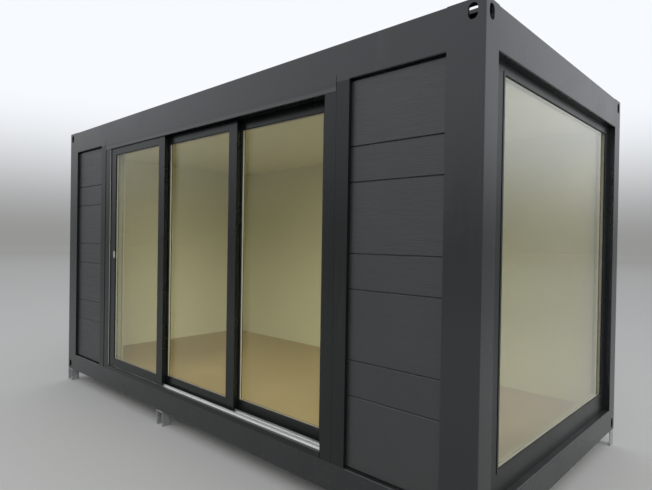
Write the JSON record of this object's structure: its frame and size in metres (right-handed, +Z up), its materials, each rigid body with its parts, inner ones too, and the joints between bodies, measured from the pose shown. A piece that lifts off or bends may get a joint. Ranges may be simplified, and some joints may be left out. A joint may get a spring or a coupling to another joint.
{
  "type": "container cabin",
  "caption": "Steel-framed container cabin with recessed grooved walls, a glazed sliding door in tracks along the front and a fixed pane filling one end.",
  "frame": {"origin": "on the ground under the middle of the cabin", "axes": "+X along the front towards the glazed end, the front with the sliding door faces -Y, +Z up"},
  "size_m": [5.045, 2.44, 2.805],
  "materials": {
    "frame_paint": "satin",
    "wall_board": "satin",
    "trim_paint": "satin",
    "door_paint": "satin",
    "roof_paint": "satin",
    "galvanised": "galvanised",
    "track_metal": "satin",
    "latch": "satin",
    "lining": "matte",
    "floor": "matte",
    "door_glass": "clear",
    "window_glass": "clear"
  },
  "bodies": {
    "cabin": {"corner_post_front_left": "frame_paint", "corner_post_front_right": "frame_paint", "corner_post_back_left": "frame_paint", "corner_post_back_right": "frame_paint", "corner_castings_top": "frame_paint", "corner_castings_bottom": "frame_paint", "floor_rail_front": "frame_paint", "floor_rail_back": "frame_paint", "floor_rail_left": "frame_paint", "floor_rail_right": "frame_paint", "roof_rail_front": "frame_paint", "roof_rail_back": "frame_paint", "roof_rail_left": "frame_paint", "roof_rail_right": "frame_paint", "wall_front_left": "wall_board", "wall_front_right": "wall_board", "wall_back": "wall_board", "wall_left_end": "wall_board", "lining_long_walls": "lining", "lining_left_end": "lining", "floor_deck": "floor", "floor_joists": "galvanised", "ceiling_board": "lining", "roof_sheet": "roof_paint", "door_post_left": "trim_paint", "door_post_right": "trim_paint", "door_jamb_left": "door_paint", "door_jamb_right": "door_paint", "door_head": "door_paint", "door_sill": "door_paint", "door_tracks": "track_metal", "end_window_stiles": "door_paint", "end_window_rails": "door_paint", "end_window_glass": "window_glass", "ground_supports": "galvanised"},
    "door_leaf_left": {"door_leaf_left_stiles": "door_paint", "door_leaf_left_rails": "door_paint", "door_leaf_left_glass": "door_glass", "door_latch": "latch"},
    "door_leaf_middle": {"door_leaf_middle_stiles": "door_paint", "door_leaf_middle_rails": "door_paint", "door_leaf_middle_glass": "door_glass"},
    "door_leaf_right": {"door_leaf_right_stiles": "door_paint", "door_leaf_right_rails": "door_paint", "door_leaf_right_glass": "door_glass"}
  },
  "joints": [
    {"name": "left_leaf_slide", "type": "slide", "parent": "cabin", "child": "door_leaf_left", "axis": [1, 0, 0], "range_m": [0, 1.9393]},
    {"name": "middle_leaf_slide", "type": "slide", "parent": "cabin", "child": "door_leaf_middle", "axis": [1, 0, 0], "range_m": [-0.9697, 0.9697]},
    {"name": "right_leaf_slide", "type": "slide", "parent": "cabin", "child": "door_leaf_right", "axis": [1, 0, 0], "range_m": [-1.9393, 0]}
  ]
}
